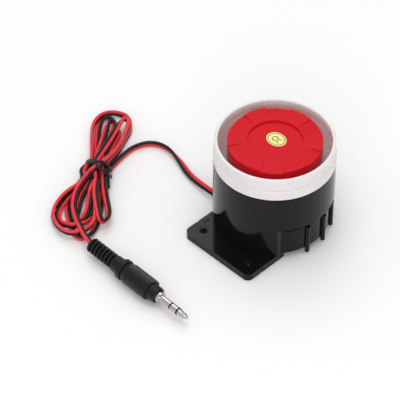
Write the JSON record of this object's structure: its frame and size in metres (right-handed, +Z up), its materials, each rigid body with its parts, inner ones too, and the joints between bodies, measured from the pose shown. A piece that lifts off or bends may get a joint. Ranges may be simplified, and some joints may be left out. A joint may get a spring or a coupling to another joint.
{
  "type": "alarm siren",
  "caption": "Round black alarm siren with a front mounting flange, white horn ring, red reflector cap and a hanked red and black twin lead ending in a jack plug",
  "frame": {"origin": "where the horn's axis meets the mounting plane, the flange's underside", "axes": "+Z up along the horn's axis, -Y towards the mounting flange, -X the side the lead leaves from"},
  "size_m": [0.1323, 0.1065, 0.0495],
  "materials": {
    "black_housing": "moulded gloss",
    "black_cover": "moulded satin",
    "steel_screws": "zinc plated",
    "white_horn": "moulded gloss",
    "red_cap": "moulded gloss",
    "yellow_label": "printed satin",
    "brass_disc": "rolled",
    "ceramic_disc": "silvered face",
    "gasket": "soft matt",
    "grey_clamp": "moulded satin",
    "green_board": "solder mask",
    "ferrite": "matt",
    "copper_winding": "enamelled",
    "black_epoxy": "moulded",
    "blue_sleeve": "shrink sleeve",
    "tan_dip": "dipped",
    "beige_lacquer": "lacquered",
    "red_insulation": "extruded gloss",
    "black_insulation": "extruded gloss",
    "blue_insulation": "extruded",
    "black_rubber": "moulded",
    "black_tie": "satin",
    "twin_lead": "extruded gloss",
    "plug_black": "moulded satin",
    "nickel_plate": "plated"
  },
  "bodies": {
    "root": {"housing": "black_housing", "base_cover": "black_cover", "cover_screws": "steel_screws", "clamp_screws": "steel_screws", "board_screws": "steel_screws", "horn_ring": "white_horn", "reflector_cap": "red_cap", "cap_label": "yellow_label", "diaphragm_disc": "brass_disc", "piezo_ceramic": "ceramic_disc", "diaphragm_gasket": "gasket", "driver_clamp": "grey_clamp", "circuit_board": "green_board", "inductor_core": "ferrite", "inductor_winding": "copper_winding", "switching_transistor": "black_epoxy", "timer_chip": "black_epoxy", "electrolytic_capacitor": "blue_sleeve", "disc_capacitor": "tan_dip", "resistors": "beige_lacquer", "protection_diode": "black_epoxy", "inner_lead_red": "red_insulation", "inner_lead_black": "black_insulation", "piezo_leads": "blue_insulation", "cord_grommet": "black_rubber", "cord_tie": "black_tie", "cord_hank": "twin_lead", "body_lead": "twin_lead", "plug_lead": "twin_lead", "plug_relief": "plug_black", "plug_barrel": "plug_black", "plug_sleeve_contact": "nickel_plate", "plug_ring_contact": "nickel_plate", "plug_tip_contact": "nickel_plate", "plug_insulators": "plug_black"}
  },
  "joints": []
}
